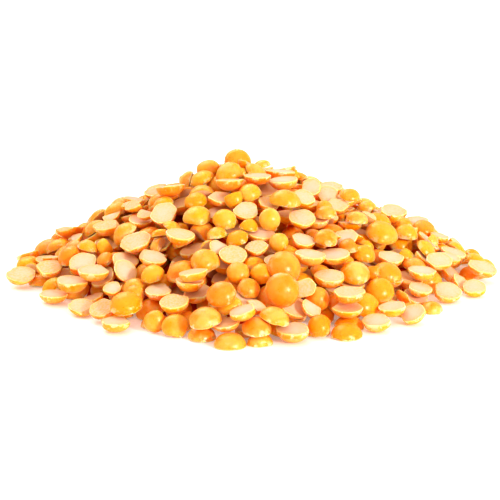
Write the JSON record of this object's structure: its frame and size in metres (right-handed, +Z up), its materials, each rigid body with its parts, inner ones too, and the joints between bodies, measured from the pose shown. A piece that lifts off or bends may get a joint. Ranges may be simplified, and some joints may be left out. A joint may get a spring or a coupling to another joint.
{
  "type": "heap of dry split peas",
  "caption": "Loose low heap of dry yellow split peas, hulled and halved, lying as poured with no dish.",
  "frame": {"origin": "middle of the heap's flat underside, at the height of the surface that it lies on", "axes": "+Z up; the front of the heap, the side that the picture shows, is on the -Y side, and +X is to the right there"},
  "size_m": [0.1108, 0.1104, 0.0263],
  "materials": {
    "split_pea": "dry, dull, golden orange rounded backs and paler cream flat faces"
  },
  "bodies": {
    "root": {"pea_heap": "split_pea"}
  },
  "joints": []
}
